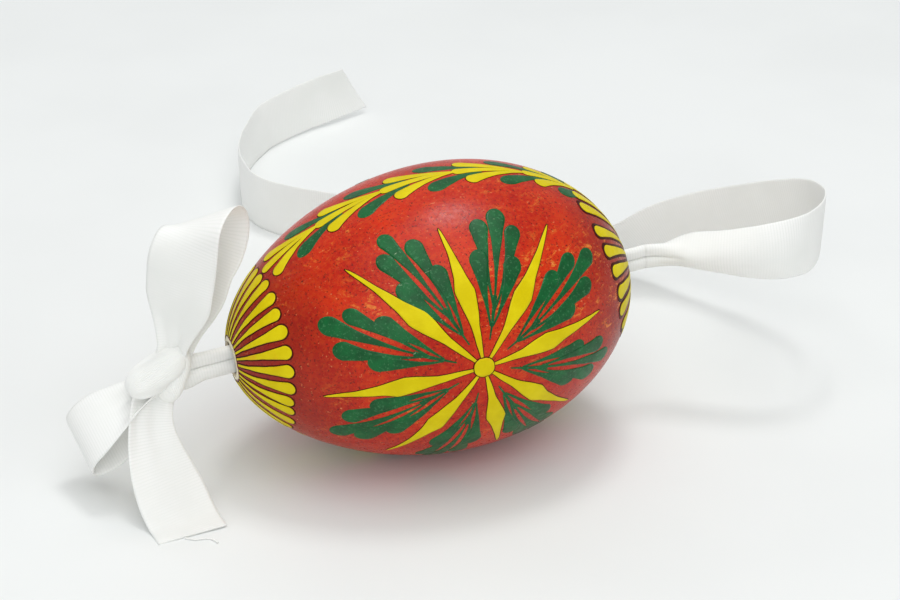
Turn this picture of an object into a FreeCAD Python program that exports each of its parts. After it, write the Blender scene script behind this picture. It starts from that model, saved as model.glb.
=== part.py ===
import FreeCAD, Part
import math
import os

import Sketcher

# A blown hen's egg with a painted shell, threaded on one grosgrain ribbon.
#
# Frame: +Z up, the egg rests on Z = 0, its long axis lies in the XZ plane with the blunt end
# towards +X and slightly raised, and the origin is under the middle of the egg's box.
#
# The ribbon is one strip. It is tied in a bow beyond the narrow end, goes folded lengthwise
# through both holes, and leaves the blunt end as a long tail that turns back behind the egg and
# stands on its edge. Each stretch of it is a node of its own.

DIMENSIONS = {
    "egg_length": 60.0,
    "egg_width": 41.5,
    "blunt_radius": 17.3,  # end arcs of the profile; the flank arc between them is tangent to both
    "narrow_radius": 12.3,
    "wall": 0.36,
    "hole_diameter": 5.2,
    "rest_tilt": 4.5,  # degrees by which the blunt end is raised when the egg lies at rest
    "ribbon_width": 10.0,
    "ribbon_thickness": 0.45,
    "folded_width": 4.2,  # the ribbon folded lengthwise to pass the holes
    "folded_thickness": 1.1,
    "fold_fillet": 0.3,
    "strand_start": -35.6,  # along the egg's axis, measured from its middle
    "strand_end": 33.9,
    "twist_gap": 0.1,  # between the strand, which turns with the egg, and the ribbon outside
    "knot_station": -39.8,
    "knot_half_length": 4.6,
    "knot_half_height": 3.6,
    "knot_half_depth": 3.5,
    "thread_diameter": 0.3,
}

doc = FreeCAD.newDocument("decorated_egg")
sheet = doc.addObject("Spreadsheet::Sheet", "dimensions")
for row, (alias, value) in enumerate(DIMENSIONS.items(), start=1):
    sheet.set("A%d" % row, alias)
    sheet.set("B%d" % row, str(value))
    sheet.setAlias("B%d" % row, alias)
doc.recompute()


def size(alias):
    return float(sheet.get(alias))


def bind(target, prop, expression):
    """Ties a property to cells of the sheet; each @word is an alias."""
    target.setExpression(prop, expression.replace("@", "dimensions."))


def origin_plane(body, role):
    return next(f for f in body.Origin.OriginFeatures if f.Role == role)


def new_body(label):
    body = doc.addObject("PartDesign::Body", label)
    body.Label = label
    return body


def new_sketch(body, name, role):
    sketch = body.newObject("Sketcher::SketchObject", name)
    sketch.AttachmentSupport = [(origin_plane(body, role), "")]
    sketch.MapMode = "FlatFace"
    return sketch


def constrain(sketch, name, expression, *args):
    """Adds a named dimension to a sketch and ties it to the sheet."""
    index = sketch.addConstraint(Sketcher.Constraint(*args))
    sketch.renameConstraint(index, name)
    bind(sketch, "Constraints." + name, expression)


# ---------------------------------------------------------------- the egg's shell


def flank_arc(half_width, blunt_radius, blunt_centre, narrow_radius, narrow_centre):
    """Radius and axial position of the arc that is tangent to both end arcs at the given width."""

    def reach(radius, end_radius):
        return math.sqrt((half_width - end_radius) * (2 * radius - end_radius - half_width))

    low, high = half_width, 50 * half_width
    for _ in range(80):
        radius = (low + high) / 2
        span = reach(radius, blunt_radius) + reach(radius, narrow_radius)
        if span < blunt_centre - narrow_centre:
            low = radius
        else:
            high = radius
    return radius, blunt_centre - reach(radius, blunt_radius)


def wall_line(inset):
    """The three arcs of the shell's profile, set in from the outer surface by inset."""
    half_length, half_width = size("egg_length") / 2, size("egg_width") / 2
    blunt, narrow = size("blunt_radius"), size("narrow_radius")
    hole = size("hole_diameter") / 2
    blunt_centre, narrow_centre = half_length - blunt, narrow - half_length
    flank, flank_x = flank_arc(half_width, blunt, blunt_centre, narrow, narrow_centre)
    flank_y = half_width - flank
    blunt_joint = math.atan2(-flank_y, blunt_centre - flank_x)
    narrow_joint = math.atan2(-flank_y, narrow_centre - flank_x)
    axis_z = FreeCAD.Vector(0, 0, 1)
    blunt_end = math.asin(hole / (blunt - inset))
    narrow_end = math.pi - math.asin(hole / (narrow - inset))
    stretches = (
        (blunt_centre, 0.0, blunt - inset, blunt_end, blunt_joint),
        (flank_x, flank_y, flank - inset, blunt_joint, narrow_joint),
        (narrow_centre, 0.0, narrow - inset, narrow_joint, narrow_end),
    )
    return [
        Part.ArcOfCircle(Part.Circle(FreeCAD.Vector(x, y, 0), axis_z, radius), start, end)
        for x, y, radius, start, end in stretches
    ]


def make_egg_shell():
    """A shell of revolution about its own X, with a hole in each end for the ribbon."""
    body = new_body("egg_shell")
    sketch = new_sketch(body, "shell_profile", "XY_Plane")
    outer = [sketch.addGeometry(arc, False) for arc in wall_line(0.0)]
    inner = [sketch.addGeometry(arc, False) for arc in wall_line(size("wall"))]
    start, end, centre = 1, 2, 3
    ends = (
        (sketch.Geometry[outer[0]].StartPoint, sketch.Geometry[inner[0]].StartPoint),
        (sketch.Geometry[outer[2]].EndPoint, sketch.Geometry[inner[2]].EndPoint),
    )
    rims = [sketch.addGeometry(Part.LineSegment(a, b), False) for a, b in ends]
    for line in (outer, inner):
        sketch.addConstraint(Sketcher.Constraint("Tangent", line[0], end, line[1], start))
        sketch.addConstraint(Sketcher.Constraint("Tangent", line[1], end, line[2], start))
    for rim, place, arc in ((rims[0], start, 0), (rims[1], end, 2)):
        sketch.addConstraint(Sketcher.Constraint("Coincident", outer[arc], place, rim, start))
        sketch.addConstraint(Sketcher.Constraint("Coincident", inner[arc], place, rim, end))
        sketch.addConstraint(Sketcher.Constraint("Horizontal", rim))
    for arc in (0, 2):
        sketch.addConstraint(Sketcher.Constraint("PointOnObject", outer[arc], centre, -1))
    for arc in (0, 1, 2):
        sketch.addConstraint(
            Sketcher.Constraint("Coincident", outer[arc], centre, inner[arc], centre)
        )
    blunt = sketch.Geometry[outer[0]]
    narrow = sketch.Geometry[outer[2]]
    flank = sketch.Geometry[outer[1]]
    hole = size("hole_diameter") / 2
    constrain(sketch, "blunt_radius", "@blunt_radius", "Radius", outer[0], blunt.Radius)
    constrain(sketch, "narrow_radius", "@narrow_radius", "Radius", outer[2], narrow.Radius)
    constrain(
        sketch, "blunt_centre", "@egg_length / 2 - @blunt_radius",
        "DistanceX", -1, 1, outer[0], centre, blunt.Center.x,
    )
    constrain(
        sketch, "narrow_centre", "@egg_length / 2 - @narrow_radius",
        "DistanceX", outer[2], centre, -1, 1, -narrow.Center.x,
    )
    constrain(
        sketch, "inner_radius", "@blunt_radius - @wall",
        "Radius", inner[0], blunt.Radius - size("wall"),
    )
    constrain(sketch, "blunt_hole", "@hole_diameter / 2", "DistanceY", -1, 1, rims[0], start, hole)
    constrain(sketch, "narrow_hole", "@hole_diameter / 2", "DistanceY", -1, 1, rims[1], start, hole)
    sketch.addConstraint(Sketcher.Constraint("Radius", outer[1], flank.Radius))
    doc.recompute()
    turned = body.newObject("PartDesign::Revolution", "shell_wall")
    turned.Profile = sketch
    turned.ReferenceAxis = (sketch, ["H_Axis"])
    turned.Angle = 360.0
    doc.recompute()
    return body


def rest_placement(shape):
    """Tilts the egg, sets it down on Z = 0 and centres its box on X = 0."""
    tilt = FreeCAD.Rotation(FreeCAD.Vector(0, 1, 0), -size("rest_tilt"))
    leaning = shape.copy()
    leaning.Placement = FreeCAD.Placement(FreeCAD.Vector(), tilt)
    box = leaning.BoundBox
    return FreeCAD.Placement(FreeCAD.Vector(-box.Center.x, 0, -box.ZMin), tilt)


shell = make_egg_shell()
egg_place = rest_placement(shell.Shape)
shell.Placement = egg_place


def on_axis(station, side=0.0, rise=0.0):
    """A point in the egg's own axes, in the frame of the part."""
    return egg_place.multVec(FreeCAD.Vector(station, side, rise))


# ---------------------------------------------------------------- the ribbon's route


def rounded_stretches(points, cuts=()):
    """Wires of straight runs and tangent arcs, parted at the middle of each run named in cuts."""
    wires, edges = [], []
    here = points[0]
    radii = []
    for i in range(1, len(points)):
        corner = points[i]
        last = i == len(points) - 1
        if last:
            leave = corner
        else:
            back, ahead = points[i - 1] - corner, points[i + 1] - corner
            setback = 0.45 * min(back.Length, ahead.Length)
            back.normalize()
            ahead.normalize()
            half_turn = (math.pi - back.getAngle(ahead)) / 2
            radius = setback / math.tan(half_turn)
            radii.append(radius)
            leave = corner + back * setback
        if i - 1 in cuts:
            middle = (points[i - 1] + corner) * 0.5
            edges.append(Part.LineSegment(here, middle).toShape())
            wires.append(Part.Wire(edges))
            edges, here = [], middle
        edges.append(Part.LineSegment(here, leave).toShape())
        if not last:
            inward = (back + ahead).normalize()
            top = corner + inward * (radius / math.cos(half_turn) - radius)
            after = corner + ahead * setback
            edges.append(Part.Arc(leave, top, after).toShape())
            here = after
    wires.append(Part.Wire(edges))
    return wires, radii


def section(centre, across, through, width, thickness):
    """A rectangle of the ribbon's section about centre."""
    half_width, half_thickness = across * (width / 2), through * (thickness / 2)
    corners = [
        centre + half_width * a + half_thickness * b
        for a, b in ((-1, -1), (1, -1), (1, 1), (-1, 1), (-1, -1))
    ]
    return Part.makePolygon(corners)


def start_section(wire, across):
    edge = wire.OrderedEdges[0]
    tangent = edge.tangentAt(edge.FirstParameter)
    through = across.cross(tangent).normalize()
    return section(
        edge.valueAt(edge.FirstParameter), across, through,
        size("ribbon_width"), size("ribbon_thickness"),
    )


def band(wire, across):
    """The flat ribbon along a wire, its width kept parallel to across."""
    sweep = Part.BRepOffsetAPI.MakePipeShell(wire)
    sweep.setBiNormalMode(across)
    sweep.add(start_section(wire, across), False, False)
    sweep.build()
    sweep.makeSolid()
    return sweep.shape()


def add_feature(label, shape):
    feature = doc.addObject("Part::Feature", label)
    feature.Label = label
    feature.Shape = shape
    feature.Placement = FreeCAD.Placement()
    return feature


def report(label, wires, radii):
    length = sum(wire.Length for wire in wires)
    print("%s: length %.1f mm, least radius %.1f mm" % (label, length, min(radii)))


def vectors(points):
    return [FreeCAD.Vector(*point) for point in points]


# ---------------------------------------------------------------- the folded stretch in the egg


def make_inner_strand():
    """The ribbon folded lengthwise, straight along the egg's axis through both holes."""
    body = new_body("inner_strand")
    sketch = new_sketch(body, "folded_section", "YZ_Plane")
    half_width, half_thickness = size("folded_width") / 2, size("folded_thickness") / 2
    corners = [
        FreeCAD.Vector(a * half_thickness, b * half_width, 0)
        for a, b in ((-1, -1), (1, -1), (1, 1), (-1, 1))
    ]
    sides = [
        sketch.addGeometry(Part.LineSegment(corners[i], corners[(i + 1) % 4]), False)
        for i in range(4)
    ]
    start, end = 1, 2
    for i in range(4):
        following = sides[(i + 1) % 4]
        sketch.addConstraint(Sketcher.Constraint("Coincident", sides[i], end, following, start))
    for i, direction in enumerate(("Horizontal", "Vertical", "Horizontal", "Vertical")):
        sketch.addConstraint(Sketcher.Constraint(direction, sides[i]))
    sketch.addConstraint(
        Sketcher.Constraint("Symmetric", sides[0], start, sides[2], start, -1, 1)
    )
    constrain(
        sketch, "thickness", "@folded_thickness",
        "DistanceX", sides[0], start, sides[0], end, 2 * half_thickness,
    )
    constrain(
        sketch, "width", "@folded_width",
        "DistanceY", sides[1], start, sides[1], end, 2 * half_width,
    )
    doc.recompute()
    pad = body.newObject("PartDesign::Pad", "strand_length")
    pad.Profile = sketch
    bind(pad, "Length", "@strand_end - @strand_start")
    doc.recompute()
    along = [
        "Edge%d" % (i + 1)
        for i, edge in enumerate(pad.Shape.Edges)
        if abs(edge.tangentAt(edge.FirstParameter).x) > 0.99
    ]
    soft = body.newObject("PartDesign::Fillet", "soft_folds")
    soft.Base = (pad, along)
    bind(soft, "Radius", "@fold_fillet")
    doc.recompute()
    body.Placement = FreeCAD.Placement(on_axis(size("strand_start")), egg_place.Rotation)
    return body


make_inner_strand()

# ---------------------------------------------------------------- the bow beyond the narrow end

KNOT_LEAN = 38.0  # degrees by which the knot's long way leans from upright
KNOT = on_axis(size("knot_station"))


def make_knot():
    knot = doc.addObject("Part::Ellipsoid", "left_knot")
    knot.Label = "left_knot"
    bind(knot, "Radius1", "@knot_half_length")
    bind(knot, "Radius2", "@knot_half_height")
    bind(knot, "Radius3", "@knot_half_depth")
    knot.Angle1 = -90.0
    knot.Angle2 = 90.0
    knot.Angle3 = 360.0
    knot.Placement = FreeCAD.Placement(
        KNOT, FreeCAD.Rotation(FreeCAD.Vector(0, 1, 0), KNOT_LEAN)
    )


def make_loop(label, base, outward, across, outline):
    """A bow loop: an outline in (outward, depth) whose plane is square to the ribbon's width."""
    outward = FreeCAD.Vector(*outward).normalize()
    across = FreeCAD.Vector(*across)
    across = (across - outward * across.dot(outward)).normalize()
    depth = outward.cross(across)
    base = FreeCAD.Vector(*base)
    wires, radii = rounded_stretches([base + outward * u + depth * v for u, v in outline])
    add_feature(label, band(wires[0], across))
    report(label, wires, radii)


UPPER_LOOP = (
    (0.0, -0.6),
    (5.5, -1.9),
    (11.5, -3.0),
    (17.0, -3.1),
    (20.6, -1.5),
    (21.8, 1.1),
    (20.4, 3.5),
    (16.2, 4.5),
    (10.8, 3.9),
    (5.2, 2.4),
    (0.0, 0.6),
)
LOWER_LOOP = (
    (0.0, -0.6),
    (4.6, -1.7),
    (9.2, -2.7),
    (12.9, -2.2),
    (14.6, 0.0),
    (12.9, 2.3),
    (9.0, 2.7),
    (4.5, 1.7),
    (0.0, 0.6),
)
FRONT_TAIL = vectors(
    (
        (-39.6, -0.8, 15.0),
        (-41.0, -2.3, 11.9),
        (-41.6, -4.2, 8.9),
        (-41.2, -6.3, 5.9),
        (-40.4, -8.2, 3.3),
        (-39.6, -10.2, 1.1),
        (-39.0, -12.2, 0.225),
        (-38.6, -14.4, 0.225),
    )
)
FRONT_TAIL_ACROSS = FreeCAD.Vector(0.985, 0.174, 0.0)

make_knot()
make_loop("upper_loop", (-37.9, 0.2, 20.4), (0.15, 0.04, 0.99), (0.80, -0.59, -0.10), UPPER_LOOP)
make_loop("lower_loop", (-40.9, 1.4, 15.4), (-0.54, 0.42, -0.73), (-0.72, 0.1, 0.64), LOWER_LOOP)
tail_wires, tail_radii = rounded_stretches(FRONT_TAIL)
add_feature("front_tail", band(tail_wires[0], FRONT_TAIL_ACROSS))
report("front_tail", tail_wires, tail_radii)

# A pulled thread curls on the ground in front of the tail's cut end.
THREAD = vectors(
    (
        (-40.6, -14.7, 0.15),
        (-39.4, -15.6, 0.15),
        (-37.9, -15.7, 0.15),
        (-36.8, -16.4, 0.15),
        (-36.6, -17.4, 0.15),
    )
)


def make_thread():
    wires, radii = rounded_stretches(THREAD)
    tube = Part.BRepOffsetAPI.MakePipeShell(wires[0])
    circle = Part.Circle(THREAD[0], THREAD[1] - THREAD[0], size("thread_diameter") / 2)
    tube.add(Part.Wire(circle.toShape()), False, False)
    tube.build()
    tube.makeSolid()
    add_feature("frayed_thread", tube.shape())
    report("frayed_thread", wires, radii)


make_thread()

# ---------------------------------------------------------------- the tail beyond the blunt end

UPRIGHT = FreeCAD.Vector(0, 0, 1)
REAR_TAIL = vectors(
    (
        (46.6, -5.8, 24.0),
        (51.4, -7.9, 24.1),
        (56.0, -9.3, 24.2),
        (60.4, -9.3, 24.3),
        (63.9, -6.8, 24.1),
        (65.9, -2.3, 23.7),
        (66.5, 3.0, 22.9),
        (65.6, 8.6, 21.6),
        (63.4, 14.1, 19.6),
        (60.3, 19.4, 17.2),
        (56.6, 24.6, 14.4),
        (52.3, 29.5, 11.5),
        (47.2, 34.2, 8.7),
        (41.6, 38.7, 6.5),
        (35.4, 43.0, 5.3),
        (28.7, 47.3, 5.0),
        (21.4, 52.2, 5.0),
        (13.7, 57.4, 5.0),
        (6.2, 62.6, 5.0),
        (0.3, 68.6, 5.0),
        (-3.7, 74.6, 5.0),
        (-5.3, 81.0, 5.0),
        (-4.6, 87.8, 5.0),
        (-1.8, 94.2, 5.0),
        (3.0, 99.8, 5.0),
        (9.2, 104.4, 5.0),
        (16.4, 108.4, 5.0),
        (23.4, 112.3, 5.0),
        (28.2, 116.2, 5.0),
    )
)
# The runs at whose middles one node gives way to the next.
REAR_TAIL_CUTS = (8, 14, 20)
REAR_TAIL_NAMES = ("tail_bend", "tail_descent", "tail_floor_run", "tail_end")

rear_wires, rear_radii = rounded_stretches(REAR_TAIL, REAR_TAIL_CUTS)
for name, wire in zip(REAR_TAIL_NAMES, rear_wires):
    add_feature(name, band(wire, UPRIGHT))
report("rear tail", rear_wires, rear_radii)


def make_tail_gather():
    """The folded ribbon opening out to its full width beyond the blunt end's hole."""
    leave = egg_place.Rotation
    folded = section(
        on_axis(size("strand_end") + size("twist_gap")),
        leave.multVec(FreeCAD.Vector(0, 0, 1)),
        leave.multVec(FreeCAD.Vector(0, -1, 0)),
        size("folded_width"),
        size("folded_thickness"),
    )
    opened = start_section(rear_wires[0], UPRIGHT)
    add_feature("tail_gather", Part.makeLoft([folded, opened], True, True))


make_tail_gather()

# ---------------------------------------------------------------- checks and files

doc.recompute()
failed = [o.Label for o in doc.Objects if {"Invalid", "Error"} & set(o.State)]
if failed:
    raise RuntimeError("these objects failed: " + ", ".join(failed))

pieces = [
    o
    for o in doc.Objects
    if o.TypeId in ("PartDesign::Body", "Part::Feature", "Part::Ellipsoid")
]
os.makedirs("parts", exist_ok=True)
for piece in pieces:
    shape = piece.Shape
    if shape.isNull() or not shape.isValid() or len(shape.Solids) != 1 or shape.Volume <= 0:
        raise RuntimeError("%s is not one valid solid" % piece.Label)
for piece in pieces:
    box = piece.Shape.BoundBox
    print(
        "%-16s volume %9.2f  x %.2f..%.2f  y %.2f..%.2f  z %.3f..%.2f"
        % (piece.Label, piece.Shape.Volume, box.XMin, box.XMax, box.YMin, box.YMax, box.ZMin, box.ZMax)
    )
    piece.Shape.exportStep("parts/%s.step" % piece.Label)
strip = size("ribbon_width") * size("ribbon_thickness")
for name, wire in zip(REAR_TAIL_NAMES, rear_wires):
    shape = doc.getObjectsByLabel(name)[0].Shape
    print("%s: volume over section x length %.3f" % (name, shape.Volume / (strip * wire.Length)))
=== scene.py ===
import math

import bpy
import numpy as np
from mathutils import Matrix, Vector


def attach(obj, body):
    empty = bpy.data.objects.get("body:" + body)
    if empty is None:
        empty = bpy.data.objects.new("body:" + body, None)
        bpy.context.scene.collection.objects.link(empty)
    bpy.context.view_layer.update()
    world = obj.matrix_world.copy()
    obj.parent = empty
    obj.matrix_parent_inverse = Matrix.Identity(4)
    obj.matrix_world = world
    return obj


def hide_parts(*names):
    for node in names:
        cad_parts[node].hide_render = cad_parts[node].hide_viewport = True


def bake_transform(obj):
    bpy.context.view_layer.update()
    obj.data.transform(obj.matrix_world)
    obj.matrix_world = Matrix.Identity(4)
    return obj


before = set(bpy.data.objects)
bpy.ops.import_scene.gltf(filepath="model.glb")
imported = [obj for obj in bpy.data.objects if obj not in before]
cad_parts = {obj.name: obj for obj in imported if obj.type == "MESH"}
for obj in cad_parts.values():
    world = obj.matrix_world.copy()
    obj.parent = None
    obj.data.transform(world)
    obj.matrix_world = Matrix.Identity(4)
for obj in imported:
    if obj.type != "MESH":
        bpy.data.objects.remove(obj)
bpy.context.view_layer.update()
MM = 0.001


# ---------------------------------------------------------------- the egg's axis

TILT = math.radians(4.5)  # the blunt end stands higher
AXIS = np.array((math.cos(TILT), 0.0, math.sin(TILT)))
RISE = np.array((-math.sin(TILT), 0.0, math.cos(TILT)))
CENTRE = np.array((-0.0405, 0.0, 20.7011))  # the egg's mid-length


def on_axis(station, side=0.0, rise=0.0):
    """A point in millimetres from its station along the egg's axis."""
    return CENTRE + station * AXIS + np.array((0.0, side, 0.0)) + rise * RISE


# ---------------------------------------------------------------- camera

YAW, ELEVATION = math.radians(19.8), math.radians(28.0)
LOOK_FLAT = np.array((math.sin(YAW), math.cos(YAW), 0.0))
RIGHT = np.array((math.cos(YAW), -math.sin(YAW), 0.0))
LOOK = LOOK_FLAT * math.cos(ELEVATION) - np.array((0, 0, math.sin(ELEVATION)))
UP = LOOK_FLAT * math.sin(ELEVATION) + np.array((0, 0, math.cos(ELEVATION)))
DISTANCE = 316.0  # millimetres, from the point that the camera stands back from
STAND_POINT = np.array((0.0, 0.0, 20.645))
LENS, SENSOR = 88.0, 36.0
AIM = LOOK + RIGHT * 0.0091 + UP * 0.0045  # the egg sits a little left of and below the middle

camera = bpy.data.objects.new("camera", bpy.data.cameras.new("camera"))
bpy.context.scene.collection.objects.link(camera)
camera.data.lens = LENS
camera.data.sensor_width = SENSOR
camera.data.clip_start = 0.01
camera.location = (STAND_POINT - DISTANCE * LOOK) * MM
camera.rotation_mode = "QUATERNION"
camera.rotation_quaternion = Vector(AIM).to_track_quat("-Z", "Y")
bpy.context.scene.camera = camera
bpy.context.scene.view_settings.view_transform = "Standard"


# ---------------------------------------------------------------- node helpers

MIX_SHARE, MIX_A, MIX_B, MIX_RESULT = 0, 6, 7, 2  # a Mix node's sockets when it mixes colours


def linear(red, green, blue):
    """A display colour, 0 to 255, as linear RGBA."""
    made = []
    for c in (red, green, blue):
        c /= 255
        made.append(c / 12.92 if c <= 0.04045 else ((c + 0.055) / 1.055) ** 2.4)
    return (*made, 1.0)


class Finish:
    """A node material built up from a few short calls."""

    def __init__(self, name):
        self.material = bpy.data.materials.new(name)
        self.material.use_nodes = True
        self.nodes = self.material.node_tree.nodes
        self.links = self.material.node_tree.links
        self.shader = self.nodes["Principled BSDF"]
        self.place = self.add("ShaderNodeTexCoord").outputs["Object"]

    def add(self, kind, **settings):
        node = self.nodes.new(kind)
        for key, value in settings.items():
            setattr(node, key, value)
        return node

    def feed(self, socket, value):
        if isinstance(value, bpy.types.NodeSocket):
            self.links.new(value, socket)
        else:
            socket.default_value = value

    def noise(self, scale, detail=3.0, rough=0.55, stretch=None, warp=0.0):
        place = self.place
        if stretch:
            mapping = self.add("ShaderNodeMapping")
            mapping.inputs["Scale"].default_value = stretch
            self.feed(mapping.inputs["Vector"], place)
            place = mapping.outputs["Vector"]
        node = self.add("ShaderNodeTexNoise")
        self.feed(node.inputs["Vector"], place)
        node.inputs["Scale"].default_value = scale
        node.inputs["Detail"].default_value = detail
        node.inputs["Roughness"].default_value = rough
        node.inputs["Distortion"].default_value = warp
        return node.outputs["Fac"]

    def rate(self, value, low, high, out_low=0.0, out_high=1.0):
        node = self.add("ShaderNodeMapRange", interpolation_type="SMOOTHSTEP")
        self.feed(node.inputs["Value"], value)
        node.inputs["From Min"].default_value = low
        node.inputs["From Max"].default_value = high
        node.inputs["To Min"].default_value = out_low
        node.inputs["To Max"].default_value = out_high
        return node.outputs["Result"]

    def math(self, operation, a, b=0.0, c=0.0):
        node = self.add("ShaderNodeMath", operation=operation)
        for socket, value in zip(node.inputs, (a, b, c)):
            self.feed(socket, value)
        return node.outputs["Value"]

    def mix(self, share, a, b):
        node = self.add("ShaderNodeMix", data_type="RGBA")
        self.feed(node.inputs[MIX_SHARE], share)
        self.feed(node.inputs[MIX_A], a)
        self.feed(node.inputs[MIX_B], b)
        return node.outputs[MIX_RESULT]

    def attribute(self, name):
        return self.add("ShaderNodeAttribute", attribute_name=name).outputs["Fac"]

    def bump(self, height, depth, strength=1.0, base=None):
        node = self.add("ShaderNodeBump")
        node.inputs["Strength"].default_value = strength
        node.inputs["Distance"].default_value = depth
        self.feed(node.inputs["Height"], height)
        if base:
            self.feed(node.inputs["Normal"], base)
        return node.outputs["Normal"]

    def set(self, **values):
        for key, value in values.items():
            self.feed(self.shader.inputs[key.replace("_", " ")], value)
        return self.material


# ---------------------------------------------------------------- ribbon material

RIBBON_HALF, RIBBON_THICK = 5.0, 0.30  # millimetres, as are the four below
RIB_PITCH = 0.42  # from rib to rib along the ribbon
RIB_RELIEF = 0.012  # how far a rib stands out from the mid thickness
WARP_PITCH = 0.34  # from thread to thread across the ribbon, in the bump only
WRAP_RELIEF = 0.028  # ribs stand out more where the knot pulls the ribbon tight


def ribbon_material():
    f = Finish("white_grosgrain")
    rib = f.attribute("along")
    warp = f.attribute("across")
    soil = f.rate(f.noise(90, 4), 0.35, 0.7)
    wave = f.math("SINE", f.math("MULTIPLY", warp, 2 * math.pi / WARP_PITCH))
    rib_wave = f.math("COSINE", f.math("MULTIPLY", rib, 2 * math.pi / RIB_PITCH))
    # painted shade: the grooves between the ribs are painted a darker white than the crests
    rib_groove_shade = f.rate(rib_wave, -1.0, 0.2)
    base = f.mix(soil, linear(248, 248, 245), linear(241, 242, 238))
    base = f.mix(rib_groove_shade, linear(242, 243, 239), base)
    fuzz = f.noise(5200, 2)
    weave = f.math("MULTIPLY_ADD", wave, 0.35, rib_wave)
    normal = f.bump(weave, 0.000010, 0.5)
    normal = f.bump(fuzz, 0.00002, 0.5, normal)
    rough = f.rate(fuzz, 0.3, 0.7, 0.62, 0.8)
    f.set(Base_Color=base, Roughness=rough, Normal=normal)
    f.set(Subsurface_Weight=0.22, Subsurface_Scale=0.0012, Sheen_Weight=0.12, IOR=1.4)
    f.shader.inputs["Subsurface Radius"].default_value = (1.0, 0.95, 0.9)
    return f.material


RIBBON = ribbon_material()


# ---------------------------------------------------------------- ribbon meshes


def smooth_line(points, resolution):
    """Points of the smooth NURBS line that has these control points."""
    curve = bpy.data.curves.new("route", "CURVE")
    curve.dimensions = "3D"
    spline = curve.splines.new("NURBS")
    spline.points.add(len(points) - 1)
    for point, place in zip(spline.points, points):
        point.co = (*place, 1.0)
    spline.order_u = 3
    spline.use_endpoint_u = True
    curve.resolution_u = resolution
    route = bpy.data.objects.new("route", curve)
    mesh = bpy.data.meshes.new_from_object(route)
    made = np.array([v.co for v in mesh.vertices], float)
    bpy.data.objects.remove(route)
    bpy.data.curves.remove(curve)
    bpy.data.meshes.remove(mesh)
    return made


def unit(v):
    v = np.asarray(v, float)
    return v / np.maximum(np.linalg.norm(v, axis=-1, keepdims=True), 1e-12)


def ramp(x, low, high):
    x = np.clip((np.asarray(x, float) - low) / (high - low), 0, 1)
    return x * x * (3 - 2 * x)


def waves(x, seed, pitch):
    """A smooth wandering value of about -1 to 1, the same each run."""
    own = np.random.default_rng(seed)
    made = np.zeros_like(np.asarray(x, float))
    for k in (1.0, 1.7, 2.9):
        made += np.sin(2 * np.pi * x / pitch * k + own.uniform(0, 6.28)) / k
    return made / 1.9


def make_object(name, vertices, faces, materials, attributes=None, matrix=None):
    mesh = bpy.data.meshes.new(name)
    mesh.from_pydata(np.asarray(vertices, float).tolist(), [], faces)
    for key, values in (attributes or {}).items():
        layer = mesh.attributes.new(key, "FLOAT", "POINT")
        layer.data.foreach_set("value", np.asarray(values, np.float32))
    mesh.polygons.foreach_set("use_smooth", [True] * len(mesh.polygons))
    for material in materials:
        mesh.materials.append(material)
    mesh.validate()
    made = bpy.data.objects.new(name, mesh)
    bpy.context.scene.collection.objects.link(made)
    if matrix is not None:
        made.matrix_world = matrix
    return made


def ring_faces(rows, count, caps=True):
    """Faces between neighbouring rings of points, and over both ends of a flat strip."""
    faces = []
    for i in range(rows - 1):
        a, b = i * count, (i + 1) * count
        for j in range(count):
            k = (j + 1) % count
            faces.append((a + j, a + k, b + k, b + j))
    if caps:
        half = count // 2
        for row, flip in ((0, False), (rows - 1, True)):
            for j in range(half - 1):
                quad = [row * count + n for n in (j, count - 1 - j, count - 2 - j, j + 1)]
                faces.append(tuple(reversed(quad)) if flip else tuple(quad))
    return faces


def ribbon(name, centre, across, sections, along, slant=None):
    """A strip whose mid-surface has the given sections, in millimetres: (across, outward).

    slant moves each row along the strip in proportion to the place across it.
    """
    rows, columns = sections.shape[:2]
    tangent = unit(np.gradient(centre, axis=0))
    across = unit(across - (across * tangent).sum(1, keepdims=True) * tangent)
    outward = np.cross(tangent, across)
    slope = np.gradient(sections, axis=1)
    slope = slope / np.maximum(np.linalg.norm(slope, axis=2, keepdims=True), 1e-9)
    normal = np.stack((-slope[..., 1], slope[..., 0]), 2)
    rib = np.cos(2 * np.pi * along / RIB_PITCH)[:, None]
    edge = 1 - 0.6 * np.abs(np.linspace(-1, 1, columns))[None, :] ** 12
    half = (RIBBON_THICK / 2 + RIB_RELIEF * rib) * edge
    top = sections + normal * half[..., None]
    bottom = sections - normal * half[..., None]
    loop = np.concatenate((top, bottom[:, ::-1]), 1)
    points = (
        centre[:, None, :]
        + loop[..., 0:1] * across[:, None, :]
        + loop[..., 1:2] * outward[:, None, :]
    )
    if slant is not None:
        points = points + (slant[:, None] * loop[..., 0])[..., None] * tangent[:, None, :]
    count = 2 * columns
    width = np.linspace(-RIBBON_HALF, RIBBON_HALF, columns)
    fields = {
        "along": np.repeat(along, count),
        "across": np.tile(np.concatenate((width, width[::-1])), rows),
    }
    faces = ring_faces(rows, count)
    made = make_object(name, points.reshape(-1, 3) * MM, faces, [RIBBON], fields)
    return made


ROUTE_RESOLUTION = 96


def ribbon_route(points, across):
    """Centre line and width direction, a quarter of a rib apart, from two smooth lines."""
    points, across = np.array(points, float), unit(np.array(across, float))
    centre = smooth_line(points, ROUTE_RESOLUTION)
    edge = smooth_line(points + across, ROUTE_RESOLUTION)
    length = np.concatenate(([0], np.cumsum(np.linalg.norm(np.diff(centre, axis=0), axis=1))))
    along = np.arange(0, length[-1], RIB_PITCH / 4)
    centre_at = np.stack([np.interp(along, length, centre[:, k]) for k in range(3)], 1)
    edge_at = np.stack([np.interp(along, length, edge[:, k]) for k in range(3)], 1)
    return centre_at, edge_at - centre_at, along


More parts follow.
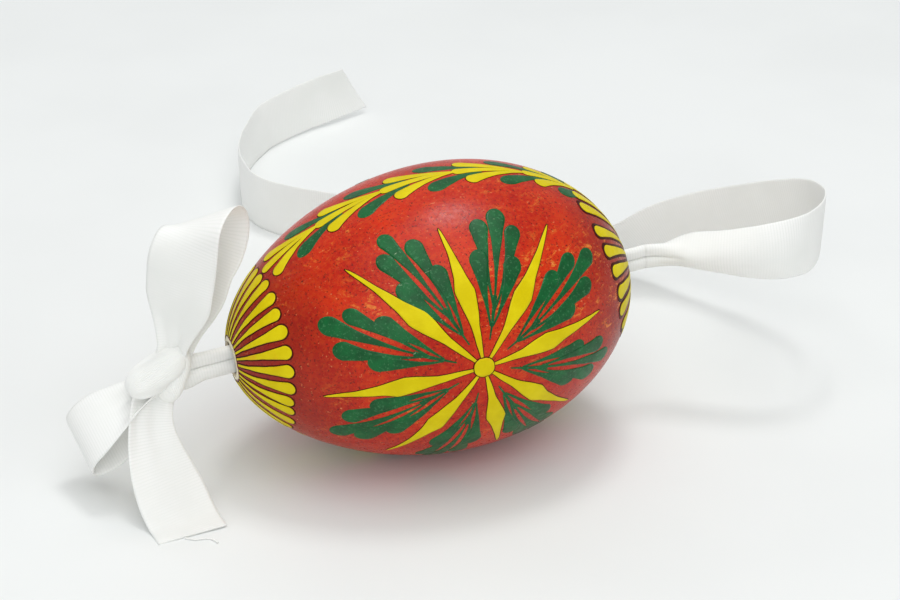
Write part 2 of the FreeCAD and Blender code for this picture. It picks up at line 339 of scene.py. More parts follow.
FOLD_PROFILE = (  # (rise, towards the front), from the tucked upper edge round to the lower one
    (0.9, -0.55), (1.9, -0.5), (2.55, -0.25), (2.6, 0.25), (2.0, 0.55), (1.1, 0.5), (0.45, 0.45),
    (0.2, -0.1), (0.0, -0.25), (-0.15, 0.15), (-0.5, 0.6), (-1.3, 0.65), (-2.1, 0.5), (-2.6, 0.2),
    (-2.6, -0.25), (-1.9, -0.5), (-0.9, -0.6),
)


def folded_section(columns):
    """The lengthwise folded ribbon's mid-line, evenly spaced across its width."""
    line = smooth_line([(a, b, 0.0) for a, b in FOLD_PROFILE], 24)[:, :2]
    length = np.concatenate(([0], np.cumsum(np.linalg.norm(np.diff(line, axis=0), axis=1))))
    at = np.linspace(0, length[-1], columns)
    line = np.stack([np.interp(at, length, line[:, k]) for k in range(2)], 1)
    return line[::-1]


NECK_COLUMNS = 41
NECK_DEPTH = 0.95  # of the fold profile's depth
TAIL_START = 33.9  # station where the rear tail leaves the egg
FOLDED = folded_section(NECK_COLUMNS)


def neck_width(station):
    """How far the folded ribbon spreads: it is pinched in the egg's holes."""
    out = 0.80 + 0.20 * ramp(-station, 33.4, 36.8)
    return out * (1 - 0.14 * ramp(station, 26.5, 29))


def neck(name, first, last, seed):
    """The folded ribbon between two stations on the egg's axis."""
    stations = np.arange(first, last + 1e-6, RIB_PITCH / 4)
    centre = np.array([on_axis(s) for s in stations])
    sag = -0.25 * ramp(-stations, 33.4, 36.8)
    centre += sag[:, None] * RISE
    across = np.tile(RISE, (len(stations), 1))
    scale = neck_width(stations)
    sections = FOLDED[None] * np.stack((scale, np.full_like(scale, NECK_DEPTH)), 1)[:, None, :]
    sections[..., 1] += 0.05 * waves(stations, seed, 7.0)[:, None]
    return ribbon(name, centre, across, sections, stations - first)


# ---------------------------------------------------------------- the long rear tail

UPRIGHT = (0.0, 0.0, 1.0)
REAR_ROUTE = (
    tuple(on_axis(TAIL_START)), (37.6, -0.5, 23.5), (41.5, -3.0, 23.8), (45.3, -5.6, 24.2),
    (49.0, -7.6, 24.6), (52.8, -8.4, 24.9), (56.6, -7.6, 25.1), (59.9, -5.2, 25.1),
    (62.6, -1.6, 24.8), (64.5, 3.0, 23.8), (65.2, 8.6, 22.1), (63.4, 14.1, 19.8),
    (60.3, 19.4, 17.2), (56.6, 24.6, 14.4), (52.3, 29.5, 11.5), (47.2, 34.2, 8.7),
    (41.6, 38.7, 6.5), (35.4, 43.0, 5.3), (28.7, 47.3, 5.0), (21.4, 52.2, 5.0),
    (13.6, 58.4, 5.0), (6.2, 64.6, 5.0), (-0.4, 70.2, 5.0), (-4.6, 75.6, 5.0),
    (-5.6, 82.4, 5.0), (-4.2, 89.2, 5.0), (-1.8, 95.8, 5.0), (1.6, 102.2, 5.1),
    (6.4, 107.8, 5.2), (13.2, 112.2, 5.3), (20.4, 115.6, 5.6), (26.8, 118.0, 6.0),
)
LEANING = {  # the width direction at the route's points where the ribbon leans over
    14: (0.05, -0.3, 0.95),
    15: (0.1, -0.7, 0.7),
    16: (0.1, -0.75, 0.65),
    17: (0.05, -0.45, 0.9),
}
TAIL_CUP_START = 1.9  # half width of the cup at the hole
TAIL_CUT_SLANT, TAIL_CUT_REACH = -0.55, 9.0


def make_rear_tail():
    ways = [LEANING.get(k, UPRIGHT) for k in range(len(REAR_ROUTE))]
    centre, across, along = ribbon_route(REAR_ROUTE, ways)
    flat = np.linspace(-1, 1, NECK_COLUMNS)
    folded = FOLDED * np.array((neck_width(TAIL_START), NECK_DEPTH))
    # the fold eases into one round cup, and the cup opens flat before the bend
    half = TAIL_CUP_START + (RIBBON_HALF - TAIL_CUP_START) * ramp(along, -3.0, 25.0)
    deep = np.sqrt(np.clip(0.75 * (RIBBON_HALF**2 - half**2), 0, None))
    height = half[:, None] * flat[None, :]
    depth = deep[:, None] * (0.62 - flat**2)[None, :]
    share = ramp(along, 0.0, 7.5)[:, None, None]
    sections = folded[None] * (1 - share) + np.stack((height, depth), 2) * share
    cup = 0.35 * (flat**2)[None, :] * waves(along, 5, 46.0)[:, None]
    ripple = 0.16 * waves(along, 8, 17.0)[:, None] * flat[None, :]
    sections[..., 1] += (cup + ripple) * share[..., 0]
    slant = TAIL_CUT_SLANT * ramp(along, along[-1] - TAIL_CUT_REACH, along[-1])
    made = ribbon("rear_ribbon", centre, across, sections, along, slant=slant)
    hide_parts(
        "tail_gather", "tail_bend", "tail_descent", "tail_floor_run", "tail_end"
    )
    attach(made, "ribbon_ends")


make_rear_tail()

neck_left = neck("neck_ribbon_left", -37.4, 0.0, 3)
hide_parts("inner_strand")
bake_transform(neck_left)
neck_right = neck("neck_ribbon_right", 0.0, 33.95, 4)
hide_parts("inner_strand")
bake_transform(neck_right)


# ---------------------------------------------------------------- the bow


def loop_points(base, outward, across, outline):
    """A loop's route from its outline in its own plane, and its width direction."""
    base, outward = np.array(base, float), unit(outward)
    across = np.array(across, float)
    across = unit(across - across.dot(outward) * outward)
    depth = np.cross(outward, across)
    return [tuple(base + u * outward + v * depth) for u, v in outline], tuple(across)


UPPER_POINTS, UPPER_ACROSS = loop_points(
    (-37.6, 0.1, 20.2), (0.235, -0.015, 0.97), (0.72, -0.69, -0.1),
    ((0, -0.6), (5.5, -1.6), (11.0, -2.8), (16.2, -3.7), (20.2, -2.6), (21.6, 0.9),
     (19.5, 4.1), (15.2, 4.5), (10.4, 3.0), (5.2, 1.5), (0, 0.6)),
)
UPPER_TOP = (0.72, -0.50, 0.40)  # the fold at the top slopes up to the right
UPPER_SLOPE = (0, 0, 0.3, 0.8, 1, 1, 1.1, 1.3, 1.3, 0.6, 0)
LOWER_POINTS, LOWER_ACROSS = loop_points(
    (-40.6, 0.6, 15.9), (-0.73, 0.13, -0.62), (-0.20, 0.92, 0.34),
    ((0, -0.6), (4.4, -1.5), (8.8, -2.3), (12.7, -1.9), (14.4, 0), (12.7, 2.0),
     (8.6, 2.4), (4.3, 1.5), (0, 0.6)),
)
FRONT_TAIL = (
    (-41.2, -0.8, 15.4), (-42.2, -2.3, 12.1), (-42.3, -4.2, 8.9), (-41.8, -6.3, 5.9),
    (-41.1, -8.2, 3.3), (-40.5, -10.2, 1.1), (-40.0, -12.1, 0.225), (-39.8, -14.2, 0.225),
)
FRONT_ACROSS = (0.998, 0.06, 0.0)
KNOT = on_axis(-39.8)
BOW_COLUMNS = 25
PLEAT_WAVE = 7.5  # radians over half the ribbon's width
TAIL_PINCH, UPPER_PINCH, LOWER_PINCH = 0.60, 0.42, 0.45  # share of the width left at the knot
TAIL_OPENS, UPPER_OPENS, LOWER_OPENS = 18.0, 13.5, 13.0  # millimetres of ribbon to full width


def make_bow_ribbon():
    """The front tail, through the knot, and the upper loop."""
    tail = list(reversed(FRONT_TAIL))
    points = tail + [(-39.4, -0.6, 17.6)] + UPPER_POINTS
    low, top = np.array(UPPER_ACROSS), np.array(UPPER_TOP)
    sloped = [tuple(low * (1 - share) + top * share) for share in UPPER_SLOPE]
    ways = [FRONT_ACROSS] * (len(tail) + 1) + sloped
    centre, across, along = ribbon_route(points, ways)
    flat = np.linspace(-1, 1, BOW_COLUMNS)
    knot_at = along[np.argmin(np.linalg.norm(centre[: len(centre) // 2] - KNOT, axis=1))]
    near = np.abs(along - knot_at)
    in_tail = along < knot_at
    opened = np.where(in_tail, ramp(near, 4.0, TAIL_OPENS), ramp(near, 4.0, UPPER_OPENS))
    opened = opened * ramp(along[-1] - along, 0.5, 11.0)
    pinched = np.where(in_tail, TAIL_PINCH, UPPER_PINCH)
    spread = pinched + (1 - pinched) * opened
    width = RIBBON_HALF * spread[:, None] * flat[None, :]
    shut = (1 - opened)[:, None]
    lift = shut * (0.9 * (0.5 - flat**2) + 0.16 * np.sin(PLEAT_WAVE * flat))[None, :]
    lift = lift + 0.16 * waves(along, 21, 19.0)[:, None] * flat[None, :]
    sections = np.stack((width, lift), 2)
    made = ribbon("bow_ribbon", centre, across, sections, along)
    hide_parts("front_tail", "upper_loop")
    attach(made, "ribbon_ends")
    return made, centre, along


bow, bow_line, bow_along = make_bow_ribbon()


def make_lower_loop():
    """The lower loop, open in its middle and pleated at both its ends in the knot."""
    ways = [LOWER_ACROSS] * len(LOWER_POINTS)
    start, end = tuple(KNOT + (0.2, 0.3, -0.6)), tuple(KNOT + (0.4, 0.9, -0.4))
    points = [start] + LOWER_POINTS + [end]
    centre, across, along = ribbon_route(points, [ways[0]] + ways + [ways[0]])
    flat = np.linspace(-1, 1, BOW_COLUMNS)
    start_open = ramp(along, 0.5, LOWER_OPENS)
    end_open = ramp(along[-1] - along, 0.5, LOWER_OPENS)
    spread = LOWER_PINCH + (1 - LOWER_PINCH) * start_open * end_open
    width = RIBBON_HALF * spread[:, None] * flat[None, :]
    shut = (1 - start_open * end_open)[:, None]
    pleat = 1.5 * shut * (0.55 - flat[None, :] ** 2)
    pleat = pleat + 0.35 * shut * np.sin(PLEAT_WAVE * flat)[None, :]
    sections = np.stack((width, pleat), 2)
    made = ribbon("lower_loop_ribbon", centre, across, sections, along)
    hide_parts("lower_loop")
    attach(made, "ribbon_ends")
    return made


lower_loop = make_lower_loop()


WRAP_RIBS = 52  # round one turn of the knot


def make_wrap(name, middle, long_way, front, half, sizes, creases, phase):
    """The ribbon wound once round the others: a soft barrel with its ends tucked in.

    A crease is its place round the barrel and how far it leans, how deep and how wide it is.
    """
    long_way = unit(long_way)
    front = unit(np.asarray(front, float) - np.dot(front, long_way) * long_way)
    side = np.cross(long_way, front)
    rows, columns = 57, 240
    turn = np.linspace(0, 2 * np.pi, columns, endpoint=False)[None, :]
    place = np.linspace(-1, 1, rows)[:, None]
    full = np.clip(1 - np.abs(place) ** 3.2, 0, 1) ** 0.5
    swell = 1 + 0.05 * np.sin(2 * turn + phase) + 0.03 * np.sin(3 * turn - phase)
    for at, lean, deep, wide in creases:
        gap = (turn - at - lean * place + np.pi) % (2 * np.pi) - np.pi
        swell = swell - deep * np.exp(-((gap / wide) ** 2)) + 0.5 * deep * np.exp(
            -(((gap - 1.6 * wide) / wide) ** 2)
        )
    rib = WRAP_RELIEF * np.cos(turn * WRAP_RIBS)
    reach = full * (swell + rib / sizes[0])
    points = (
        np.asarray(middle, float)
        + (half * place)[..., None] * long_way
        + (sizes[0] * reach * np.cos(turn))[..., None] * front
        + (sizes[1] * reach * np.sin(turn))[..., None] * side
    )
    faces = ring_faces(rows, columns, caps=False)
    fields = {
        "along": np.tile(turn[0] * WRAP_RIBS * RIB_PITCH / (2 * np.pi), rows),
        "across": np.repeat(place[:, 0] * half, columns),
    }
    made = make_object(name, points.reshape(-1, 3) * MM, faces, [RIBBON], fields)
    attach(made, "ribbon_ends")
    return made


WRAP_CREASES = (
    (0.55, 0.4, 0.07, 0.22), (-0.7, -0.25, 0.05, 0.2), (1.5, 0.2, 0.08, 0.3),
    (-1.7, 0.3, 0.06, 0.25),
)
COLLAR_CREASES = ((0.4, 0.3, 0.05, 0.3), (-0.9, 0.2, 0.05, 0.3))
knot_wrap = make_wrap(
    "knot_wrap", KNOT + (-0.5, -0.3, 1.1), (0.88, 0.0, 0.48), (0.1, -1.0, 0.0), 5.1,
    (2.8, 2.3), WRAP_CREASES, 1.0,
)
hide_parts("left_knot")
knot_collar = make_wrap(
    "knot_collar", on_axis(-38.1, -0.5, 0.3), (-0.34, -0.05, -0.94), (0.2, -1.0, 0.1), 4.3,
    (2.3, 1.9), COLLAR_CREASES, 2.4,
)


# ---------------------------------------------------------------- the egg's surface

HALF_LENGTH, HALF_WIDTH, WALL = 30.0, 20.68, 0.36
HOLE = 2.6  # radius
BLUNT, LEAN_ENDS = 0.084, 0.04  # how much fuller one end is, and how much slimmer both are


def profile(turn):
    """Station and radius of the egg's outline; turn is 0 at the blunt end, pi at the other."""
    c = np.cos(turn)
    return HALF_LENGTH * c, HALF_WIDTH * np.sin(turn) * (1 + BLUNT * c - LEAN_ENDS * c * c)


TURNS = np.linspace(0, math.pi, 4001)
STATIONS, RADII = profile(TURNS)
ARCS = np.concatenate(([0], np.cumsum(np.hypot(np.diff(STATIONS), np.diff(RADII)))))
WHOLE_ARC = ARCS[-1]
EGG_PLACE = Matrix.Translation(CENTRE * MM) @ Matrix.Rotation(-TILT, 4, "Y")
NUDGE = 0.05  # millimetres of arc to each side, to find the surface's slope


def on_shell(arc, angle, lift):
    """Points in the egg's own frame, in millimetres.

    arc runs from the blunt pole, angle from the front, and lift is the height off the shell.
    """
    arc = np.clip(arc, NUDGE, WHOLE_ARC - NUDGE)
    low, high = arc - NUDGE, arc + NUDGE
    x, r = np.interp(arc, ARCS, STATIONS), np.interp(arc, ARCS, RADII)
    dx = (np.interp(high, ARCS, STATIONS) - np.interp(low, ARCS, STATIONS)) / (2 * NUDGE)
    dr = (np.interp(high, ARCS, RADII) - np.interp(low, ARCS, RADII)) / (2 * NUDGE)
    size = np.hypot(dx, dr)
    x, r = x + lift * dr / size, r - lift * dx / size
    return np.stack((x, -r * np.cos(angle), r * np.sin(angle)), -1)


def shell_radius(arc):
    return np.interp(arc, ARCS, RADII)


# ---------------------------------------------------------------- egg materials


def shell_material():
    f = Finish("dyed_shell")
    x, y, z = f.add("ShaderNodeSeparateXYZ").outputs
    f.feed(x.node.inputs[0], f.place)
    patches = f.rate(f.noise(95, 4, 0.6), 0.36, 0.66)
    grain = f.rate(f.noise(1500, 4, 0.75), 0.42, 0.62)
    red = f.mix(patches, linear(174, 22, 3), linear(204, 42, 4))
    red = f.mix(f.math("MULTIPLY", grain, 0.42), red, linear(212, 72, 16))
    # the red turns darker and browner towards both ends
    far = f.math("ABSOLUTE", x)
    browner = f.rate(far, 0.014, 0.027)
    red = f.mix(f.math("MULTIPLY", browner, 0.62), red, linear(104, 24, 16))
    # orange scuffs, in scattered patches
    scuff = f.rate(f.noise(430, 5, 0.8, (1.0, 1.0, 2.4), 0.6), 0.54, 0.64)
    where = f.rate(f.noise(62, 2), 0.44, 0.62)
    red = f.mix(f.math("MULTIPLY", scuff, where), red, linear(222, 122, 44))
    # dark and pale pores
    specks = f.rate(f.noise(2900, 3, 0.7), 0.58, 0.65)
    red = f.mix(f.math("MULTIPLY", specks, 0.8), red, linear(70, 16, 10))
    pale = f.rate(f.noise(1750, 2, 0.8, (1.0, 1.3, 1.0)), 0.66, 0.72)
    red = f.mix(f.math("MULTIPLY", pale, 0.55), red, linear(236, 150, 96))
    # bare shell round the holes
    out = f.math("SQRT", f.math("ADD", f.math("POWER", y, 2.0), f.math("POWER", z, 2.0)))
    ragged = f.math("MULTIPLY_ADD", f.noise(700, 3, 0.7), 0.0009, 0.0027)
    bare = f.rate(f.math("SUBTRACT", out, ragged), -0.00006, 0.00006, 1.0, 0.0)
    red = f.mix(bare, red, linear(232, 222, 190))
    smooth = f.rate(f.noise(1300, 3), 0.35, 0.7, 0.27, 0.38)
    normal = f.bump(f.noise(2600, 2), 0.00003, 0.35)
    normal = f.bump(f.noise(260, 2), 0.00008, 0.25, normal)
    return f.set(Base_Color=red, Roughness=smooth, Normal=normal, Specular_IOR_Level=0.24)


def membrane_material():
    f = Finish("bare_inside")
    tone = f.rate(f.noise(300, 4), 0.35, 0.7)
    base = f.mix(tone, linear(226, 214, 188), linear(204, 184, 150))
    return f.set(Base_Color=base, Roughness=0.7, Normal=f.bump(f.noise(1500), 0.00004, 0.4))


def yellow_material():
    f = Finish("yellow_paint")
    tone = f.rate(f.noise(260, 4, 0.6), 0.35, 0.7)
    base = f.mix(tone, linear(212, 192, 2), linear(224, 206, 14))
    warm = f.rate(f.noise(150, 3), 0.62, 0.74)
    base = f.mix(f.math("MULTIPLY", warm, 0.6), base, linear(226, 170, 24))
    rough = f.rate(f.noise(900), 0.35, 0.7, 0.36, 0.5)
    normal = f.bump(f.noise(2400, 2), 0.00002, 0.3)
    return f.set(Base_Color=base, Roughness=rough, Normal=normal, Specular_IOR_Level=0.10)


def green_material():
    f = Finish("green_paint")
    tone = f.rate(f.noise(330, 4, 0.65), 0.35, 0.68)
    base = f.mix(tone, linear(2, 76, 34), linear(6, 98, 46))
    # painted highlight: pale flecks mixed into the green colour stand in for glints of its gloss
    gloss_glint_flecks = f.rate(f.noise(2500, 2, 0.7), 0.56, 0.70)
    base = f.mix(f.math("MULTIPLY", gloss_glint_flecks, 0.4), base, linear(84, 146, 100))
    scratch = f.rate(f.noise(800, 3, 0.8, (0.35, 2.4, 1.0), 1.2), 0.69, 0.73)
    base = f.mix(f.math("MULTIPLY", scratch, 0.55), base, linear(176, 200, 160))
    rough = f.rate(f.noise(1200), 0.35, 0.7, 0.30, 0.46)
    normal = f.bump(f.noise(2600, 2), 0.00003, 0.4)
    return f.set(Base_Color=base, Roughness=rough, Normal=normal, Specular_IOR_Level=0.26)


def outline_material():
    f = Finish("dark_dye")
    tone = f.rate(f.noise(500, 3), 0.35, 0.7)
    base = f.mix(tone, linear(58, 12, 6), linear(84, 22, 10))
    normal = f.bump(f.noise(2400, 2), 0.00003, 0.3)
    rough = f.rate(f.noise(1100), 0.35, 0.7, 0.36, 0.5)
    return f.set(Base_Color=base, Roughness=rough, Normal=normal, Specular_IOR_Level=0.10)


# ---------------------------------------------------------------- the shell


SHELL_ROWS, SHELL_COLUMNS = 190, 288


def make_shell():
    """The hollow shell, open at both ends, with slightly chipped rims."""
    first = math.asin(HOLE / (HALF_WIDTH * (1 + BLUNT - LEAN_ENDS)))
    last = math.pi - math.asin(HOLE / (HALF_WIDTH * (1 - BLUNT - LEAN_ENDS)))
    share = np.linspace(0, 1, SHELL_ROWS)
    turn = first + (last - first) * share
    around = np.linspace(0, 2 * np.pi, SHELL_COLUMNS, endpoint=False)
    x, r = profile(turn)
    chips = 0.10 * np.sin(3 * around + 1) + 0.07 * np.sin(7 * around + 2)
    chips = chips + 0.05 * np.sin(13 * around)
    ends = np.exp(-np.minimum(share, 1 - share) * 160)
    outer_r = r[:, None] + ends[:, None] * chips[None, :]
    inner_r = outer_r - WALL * (1 - 0.35 * ends[:, None])
    inner_x = x * (1 - WALL / HALF_LENGTH)
    rows = []
    for xs, rs in ((x, outer_r), (inner_x[::-1], inner_r[::-1])):
        wide = np.broadcast_to(xs[:, None], rs.shape)
        rows.append(np.stack((wide, -rs * np.cos(around), rs * np.sin(around)), -1))
    points = np.concatenate(rows).reshape(-1, 3)
    total, count = 2 * len(share), len(around)
    faces = []
    for i in range(total):
        a, b = i * count, (i + 1) % total * count
        for j in range(count):
            k = (j + 1) % count
            faces.append((a + j, b + j, b + k, a + k))
    materials = [shell_material(), membrane_material()]
    made = make_object("egg_shell_painted", points * MM, faces, materials, None, EGG_PLACE)
    inside = np.repeat(np.arange(total) >= len(share) - 1, count).astype(np.int32)
    made.data.polygons.foreach_set("material_index", inside)
    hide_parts("egg_shell")
    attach(made, "egg")


make_shell()


# ---------------------------------------------------------------- painted strokes

ACROSS = np.array((-1.0, -0.96, -0.7, -0.3, 0.3, 0.7, 0.96, 1.0))
OUTLINE_LIFT, GREEN_LIFT, YELLOW_LIFT = 0.03, 0.035, 0.07  # millimetres off the shell
STROKE_STEP, STROKE_CYCLE = 0.0012, 23  # later strokes lie a hair higher, so none share a plane
EDGE_SINK = -0.03  # a stroke's edges go into the shell
layers = {"yellow": [], "outline": [], "green": []}


def bend(points, share):
    """Points of the quadratic curve through a stroke's tail, its pull and its head."""
    tail, pull, head = (np.array(p, float) for p in points)
    t = share[:, None]
    return tail * (1 - t) ** 2 + 2 * pull * t * (1 - t) + head * t * t


def stroke(layer, chart, points, left, right, lift, margin=0.0, rows=40):
    """A brush stroke laid on the shell.

    left and right give its half widths along it, in millimetres, and margin is added all round.
    """
    share = 0.5 - 0.5 * np.cos(np.linspace(0, np.pi, rows))
    line = bend(points, share)
    ahead = np.gradient(line, axis=0)
    ahead /= np.maximum(np.linalg.norm(ahead, axis=1, keepdims=True), 1e-9)
    line = line + ahead * (margin * share - margin * (1 - share))[:, None]
    arc, angle = chart(line[:, 0], line[:, 1])
    r = shell_radius(arc)
    d_arc, d_turn = np.gradient(arc), np.gradient(angle) * r
    size = np.hypot(d_arc, d_turn)
    d_arc, d_turn = d_arc / size, d_turn / size
    reach = np.where(
        ACROSS[None, :] < 0, (right(share) + margin)[:, None], (left(share) + margin)[:, None]
    )
    offset = reach * ACROSS[None, :]
    layers[layer].append(
        (
            arc[:, None] - offset * d_turn[:, None],
            angle[:, None] + offset * d_arc[:, None] / r[:, None],
            lift + STROKE_STEP * (len(layers[layer]) % STROKE_CYCLE),
        )
    )


def outlined(chart, points, left, right, rows=40, over=0.0, margin=0.11):
    """A yellow stroke on a slightly larger dark one."""
    stroke("outline", chart, points, left, right, OUTLINE_LIFT + over, margin, rows)
    stroke("yellow", chart, points, left, right, YELLOW_LIFT + over, rows=rows)


def drop(radius, length, thin, power):
    """Half width of a teardrop whose round head is at the end of the stroke."""
    head = 1 - radius / length

    def width(share):
        body = thin + (radius - thin) * np.clip(share / head, 0, 1) ** power
        inside = np.clip((share - head) / (1 - head), 0, 1)
        return body * np.sqrt(np.clip(1 - inside**2, 0, 1))

    return width


def wobbled(width, seed, size=0.04):
    """The same half width with a hand's unsteadiness, none at the tips."""

    def made(share):
        end = np.clip(np.minimum(share, 1 - share) * 12, 0, 1)
        return width(share) + size * end * waves(share, seed, 0.45)

    return made


def girdle(arc_at, angle_at):
    """Chart of millimetres along the egg, positive to the blunt end, and round it."""

    def chart(u, v):
        arc = arc_at - u
        return arc, angle_at + v / shell_radius(arc)

    return chart


def toward(bearing, distance, side=0.0):
    """Chart point at a bearing in degrees and a distance, moved sideways."""
    b = math.radians(bearing)
    return (
        distance * math.cos(b) - side * math.sin(b),
        distance * math.sin(b) + side * math.cos(b),
    )


PETALS = (  # bearing in degrees and length
    (5, 20.0), (49, 21.8), (94, 20.6), (133, 22.4),
    (-175, 22.4), (-130, 20.2), (-80, 18.2), (-42, 19.2),
)
SPRIGS = (26, 71, 114, 158, -156, -105, -62, -17)  # bearings
LEAVES = (  # distance of the tip, how far to the side, distance of the root
    (22.0, 0.0, 9.5), (19.3, 2.55, 8.6), (19.2, -2.6, 8.0), (14.9, 2.85, 5.8),
    (14.9, -2.85, 5.8),
)
DOT_RADIUS = 1.42


def petal(chart, bearing, length, seed):
    """A pointed yellow petal, widest near its middle."""
    own = np.random.default_rng(seed)
    kinks = own.uniform(-0.03, 0.03, 2)

    def side(shift):
        stops = (0, 0.25, 0.42 + shift, 0.50 + shift, 0.62, 0.80, 0.97, 1)
        widths = (0.20, 0.58, 1.22, 1.44, 0.84, 0.40, 0.15, 0.0)
        return lambda share: np.interp(share, stops, widths)

    points = (
        toward(bearing, 1.5),
        toward(bearing, length / 2, own.uniform(-0.25, 0.25)),
        toward(bearing, length),
    )
    left = wobbled(side(kinks[0]), seed, 0.05)
    right = wobbled(side(kinks[1]), seed + 50, 0.05)
    outlined(chart, points, left, right, 64)


def stem_width(share):
    return 0.09 + 0.26 * share


def dot_width(share):
    return DOT_RADIUS * np.sqrt(np.clip(1 - (2 * share - 1) ** 2, 0, 1)) ** 0.8


def sprig(chart, bearing, seed):
    """A green sprig of five leaves between two petals."""
    own = np.random.default_rng(seed)
    stem = (toward(bearing, 4.0), toward(bearing, 7), toward(bearing, 10))
    stroke("green", chart, stem, stem_width, stem_width, GREEN_LIFT, rows=16)
    for far, out, root in LEAVES:
        far, out = far + own.uniform(-0.5, 0.5), out + own.uniform(-0.25, 0.25)
        radius = 1.30 + own.uniform(-0.12, 0.14)
        pull = toward(bearing, root + 0.5 * (far - root), out * 0.66)
        points = (toward(bearing, root, 0.05 * out), pull, toward(bearing, far + radius * 0.8, out))
        width = drop(radius, far - root, 0.14, 2.1)
        left, right = wobbled(width, seed + 7), wobbled(width, seed + 9)
        stroke("green", chart, points, left, right, GREEN_LIFT)


def star(arc_at, angle_at, seed):
    chart = girdle(arc_at, angle_at)
    for k, bearing in enumerate(SPRIGS):
        sprig(chart, bearing, seed + 10 * k)
    for k, (bearing, length) in enumerate(PETALS):
        petal(chart, bearing, length, seed + 200 + 10 * k)
    points = ((-DOT_RADIUS, 0.05), (0, 0), (DOT_RADIUS, 0.0))
    left, right = wobbled(dot_width, seed, 0.05), wobbled(dot_width, seed + 1, 0.05)
    outlined(chart, points, left, right, 48, over=0.09)


# arcs from the blunt pole where the band's drops meet
UNITS = (65.8, 56.2, 46.0, 35.3, 24.7, 16.6)


def garland(angle_at, seed):
    """A band of units, each of three yellow drops with a green drop on each side."""
    own = np.random.default_rng(seed)
    for head, tail in zip(UNITS, UNITS[1:]):
        sway = [0.028 * (arc - 41.0) for arc in (head, tail)]

        def chart(u, v, low=tail, sway=sway, span=head - tail):
            arc = low + u
            middle = sway[1] + (sway[0] - sway[1]) * u / span
            return arc, angle_at + (middle + v) / shell_radius(arc)

        span = head - tail
        for side in (-1, 1):
            width = wobbled(drop(1.22, span * 0.6, 0.14, 1.1), seed + side)
            points = ((-4.0, 0.7 * side), (0.6, 1.7 * side), (span * 0.45, 3.6 * side))
            stroke("green", chart, points, width, width, GREEN_LIFT)
        for side in (-1, 1):
            far = span - 1.1 + own.uniform(-0.3, 0.3)
            width = wobbled(drop(1.0, span, 0.12, 1.3), seed + 5 + side)
            points = ((-0.3, 0.08 * side), (span * 0.45, 0.9 * side), (far, 2.95 * side))
            outlined(chart, points, width, width)
        width = wobbled(drop(0.86, span, 0.12, 1.0), seed + 9)
        outlined(chart, ((-0.4, 0.0), (span * 0.5, 0.1), (span + 0.2, 0.0)), width, width)
        seed += 13


def fan(count, head_at, from_blunt, seed, radius, tail_at, hook=0.0, margin=0.2):
    """Yellow drops all round one end, heads away from the hole."""
    own = np.random.default_rng(seed)
    for k in range(count):
        angle_at = 2 * math.pi * (k + own.uniform(-0.12, 0.12)) / count
        head = head_at(angle_at) + own.uniform(-0.5, 0.5)
        size = radius * own.uniform(0.9, 1.12)

        def chart(u, v, angle_at=angle_at):
            arc = u if from_blunt else WHOLE_ARC - u
            return arc, angle_at + v / shell_radius(arc)

        width = wobbled(drop(size, head - tail_at, 0.15, 1.8), seed + k)
        lean = hook + own.uniform(-0.15, 0.15)
        outlined(chart, ((tail_at, 0.0), (head * 0.6, 0.0), (head, lean)), width, width, margin=margin)


STAR_ARC = 40.1
star(STAR_ARC, math.radians(3.8), 1000)
star(STAR_ARC, math.radians(183.8), 2000)
garland(math.radians(91.0), 3000)
garland(math.radians(-89.0), 4000)
fan(27, lambda a: 13.6 + 0.3 * math.sin(a), False, 5000, 0.90, 3.5)
fan(26, lambda a: 14.0 + 3.4 * math.sin(a), True, 6000, 0.98, 3.6, hook=-0.5, margin=0.42)


def make_paint(name, layer, material):
    """All the strokes of one paint, as one piece on the shell."""
    vertices, faces = [], []
    for arc, angle, lift in layers[layer]:
        rows, columns = arc.shape
        rise = np.full(columns, lift)
        rise[0] = rise[-1] = EDGE_SINK
        base = len(vertices)
        vertices += on_shell(arc, angle, rise[None, :]).reshape(-1, 3).tolist()
        for i in range(rows - 1):
            for j in range(columns - 1):
                a = base + i * columns + j
                faces.append((a, a + 1, a + columns + 1, a + columns))
    made = make_object(name, np.array(vertices) * MM, faces, [material], None, EGG_PLACE)
    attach(made, "egg")


make_paint("paint_outlines", "outline", outline_material())
make_paint("paint_yellow", "yellow", yellow_material())
make_paint("paint_green", "green", green_material())


# ---------------------------------------------------------------- pulled thread

THREAD = (
    (-41.0, -14.5, 0.15), (-39.9, -15.5, 0.15), (-38.4, -15.5, 0.15), (-37.3, -16.2, 0.15),
    (-37.1, -17.2, 0.15),
)


THREAD_RADIUS, THREAD_TWIST = 0.13, 16.0  # millimetres, and radians over its length


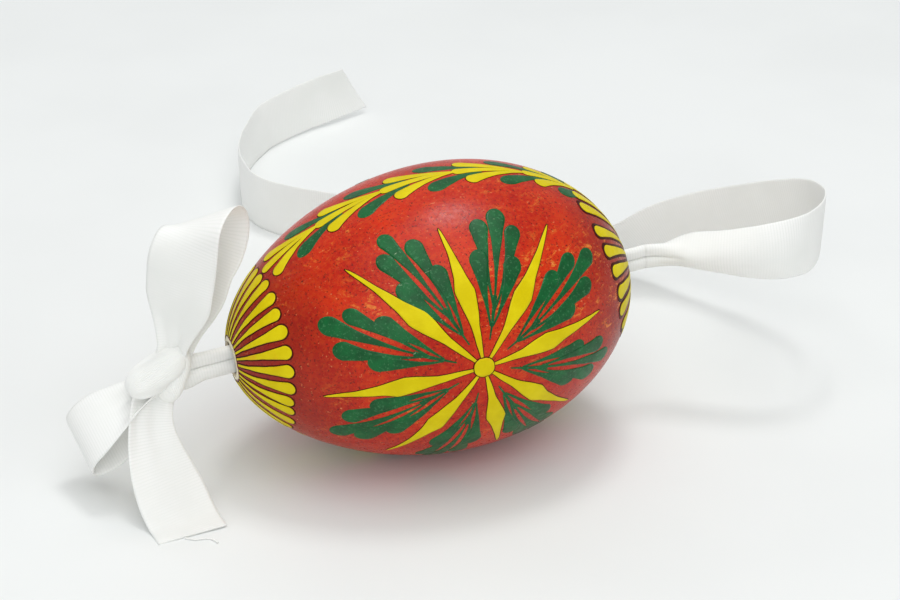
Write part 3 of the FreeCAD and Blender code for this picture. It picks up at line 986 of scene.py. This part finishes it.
def make_thread():
    """The pulled thread, slightly oval and twisted."""
    line = smooth_line(THREAD, 24)
    tangent = unit(np.gradient(line, axis=0))
    side = unit(np.cross(tangent, np.array(UPRIGHT)))
    rise = np.cross(side, tangent)
    turn = np.linspace(0, 2 * np.pi, 10, endpoint=False)
    twist = np.linspace(0, THREAD_TWIST, len(line))
    thick = THREAD_RADIUS * (1 + 0.15 * np.cos(2 * (turn[None, :] + twist[:, None])))
    points = (
        line[:, None, :]
        + (thick * np.cos(turn))[..., None] * side[:, None, :]
        + (thick * np.sin(turn))[..., None] * rise[:, None, :]
    )
    faces = ring_faces(len(line), len(turn), caps=False)
    faces.append(tuple(range(len(turn))))
    last = (len(line) - 1) * len(turn)
    faces.append(tuple(last + k for k in reversed(range(len(turn)))))
    fields = {
        "along": np.repeat(np.arange(len(line)) * 0.1, len(turn)),
        "across": np.zeros(points.size // 3),
    }
    made = make_object("frayed_thread_end", points.reshape(-1, 3) * MM, faces, [RIBBON], fields)
    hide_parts("frayed_thread")
    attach(made, "ribbon_ends")


make_thread()


# ---------------------------------------------------------------- stage and light


FLOOR_HALF = 3.0  # metres
WORLD_COLOUR, WORLD_STRENGTH = (0.97, 0.99, 1.0, 1.0), 0.47


def make_stage():
    f = Finish("pale_floor")
    tone = f.rate(f.noise(14, 3), 0.35, 0.7)
    base = f.mix(tone, linear(236, 238, 237), linear(232, 234, 233))
    normal = f.bump(f.noise(2600, 2), 0.00002, 0.3)
    material = f.set(Base_Color=base, Roughness=0.75, Normal=normal)
    corners = [(x * FLOOR_HALF, y * FLOOR_HALF, 0) for x, y in ((-1, -1), (1, -1), (1, 1), (-1, 1))]
    floor = make_object("floor", corners, [(0, 1, 2, 3)], [material])


def add_light(name, place, target, size, power):
    """A square area light; places and size in metres, power in watts."""
    data = bpy.data.lights.new(name, "AREA")
    data.shape = "SQUARE"
    data.size = size
    data.energy = power
    light = bpy.data.objects.new(name, data)
    bpy.context.scene.collection.objects.link(light)
    light.location = place
    light.rotation_mode = "QUATERNION"
    light.rotation_quaternion = (Vector(target) - Vector(place)).to_track_quat("-Z", "Y")


make_stage()
add_light("overhead", (0.12, 0.15, 0.73), (0.0, 0.0, 0.0), 0.17, 1.15)
add_light("wide_top", (0.0, -0.22, 0.80), (0.0, 0.0, 0.0), 0.80, 3.0)
add_light("front_fill", (-0.30, -0.70, 0.45), (0.0, 0.0, 0.02), 0.60, 1.6)
add_light("back_glow", (0.0, 1.30, 0.90), (0.0, 0.70, 0.0), 1.20, 1.0)
world = bpy.data.worlds.new("studio")
world.use_nodes = True
world.node_tree.nodes["Background"].inputs["Color"].default_value = WORLD_COLOUR
world.node_tree.nodes["Background"].inputs["Strength"].default_value = WORLD_STRENGTH
bpy.context.scene.world = world
